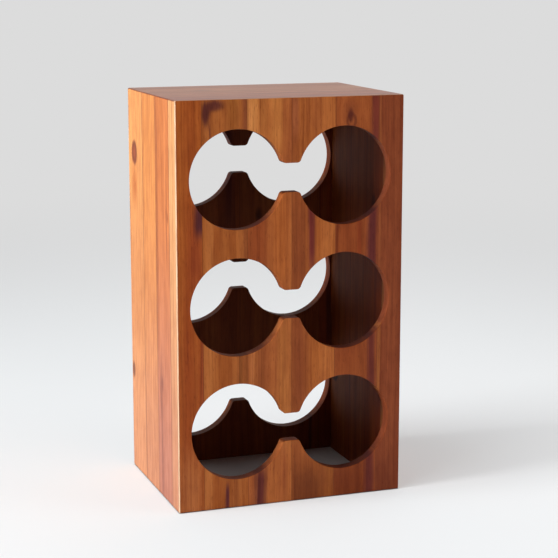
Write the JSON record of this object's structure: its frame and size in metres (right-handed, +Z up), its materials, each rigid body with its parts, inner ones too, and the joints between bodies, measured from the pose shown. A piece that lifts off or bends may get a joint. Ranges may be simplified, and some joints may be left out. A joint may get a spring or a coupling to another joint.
{
  "type": "wooden wine rack",
  "caption": "Free-standing wooden wine rack: a tall mitred box of edge-glued staves, open below, with pairs of round bottle holes joined by slots through front and back.",
  "frame": {"origin": "middle of the base, on the surface that the rack stands on", "axes": "+Z up; the front faces -Y; bottles lie along Y; +X to the right seen from the front"},
  "size_m": [0.232, 0.172, 0.4],
  "materials": {
    "acacia_dark": "satin oil",
    "acacia_red": "satin oil",
    "acacia_mid": "satin oil",
    "acacia_gold": "satin oil",
    "spline": "bare, sawn"
  },
  "bodies": {
    "root": {"front_stave_1": "acacia_dark", "front_stave_2_rail_1": "acacia_mid", "front_stave_2_rail_2": "acacia_mid", "front_stave_2_rail_3": "acacia_mid", "front_stave_2_rail_4": "acacia_mid", "front_stave_3_rail_1": "acacia_gold", "front_stave_3_rail_2": "acacia_gold", "front_stave_3_rail_3": "acacia_gold", "front_stave_3_rail_4": "acacia_gold", "front_stave_4_rail_1": "acacia_red", "front_stave_4_rail_2": "acacia_red", "front_stave_4_rail_3": "acacia_red", "front_stave_4_rail_4": "acacia_red", "front_stave_5_rail_1": "acacia_mid", "front_stave_5_rail_2": "acacia_mid", "front_stave_5_rail_3": "acacia_mid", "front_stave_5_rail_4": "acacia_mid", "front_stave_6": "acacia_dark", "back_stave_1": "acacia_dark", "back_stave_2_rail_1": "acacia_mid", "back_stave_2_rail_2": "acacia_mid", "back_stave_2_rail_3": "acacia_mid", "back_stave_2_rail_4": "acacia_mid", "back_stave_3_rail_1": "acacia_gold", "back_stave_3_rail_2": "acacia_gold", "back_stave_3_rail_3": "acacia_gold", "back_stave_3_rail_4": "acacia_gold", "back_stave_4_rail_1": "acacia_red", "back_stave_4_rail_2": "acacia_red", "back_stave_4_rail_3": "acacia_red", "back_stave_4_rail_4": "acacia_red", "back_stave_5_rail_1": "acacia_mid", "back_stave_5_rail_2": "acacia_mid", "back_stave_5_rail_3": "acacia_mid", "back_stave_5_rail_4": "acacia_mid", "back_stave_6": "acacia_dark", "left_stave_1": "acacia_mid", "left_stave_2": "acacia_gold", "left_stave_3": "acacia_mid", "left_stave_4": "acacia_red", "right_stave_1": "acacia_red", "right_stave_2": "acacia_mid", "right_stave_3": "acacia_gold", "right_stave_4": "acacia_mid", "top_stave_1": "acacia_red", "top_stave_2": "acacia_mid", "top_stave_3": "acacia_gold", "top_stave_4": "acacia_mid", "spline_front_left": "spline", "spline_front_right": "spline", "spline_back_left": "spline", "spline_back_right": "spline", "spline_top_front": "spline", "spline_top_back": "spline", "spline_top_left": "spline", "spline_top_right": "spline"}
  },
  "joints": []
}
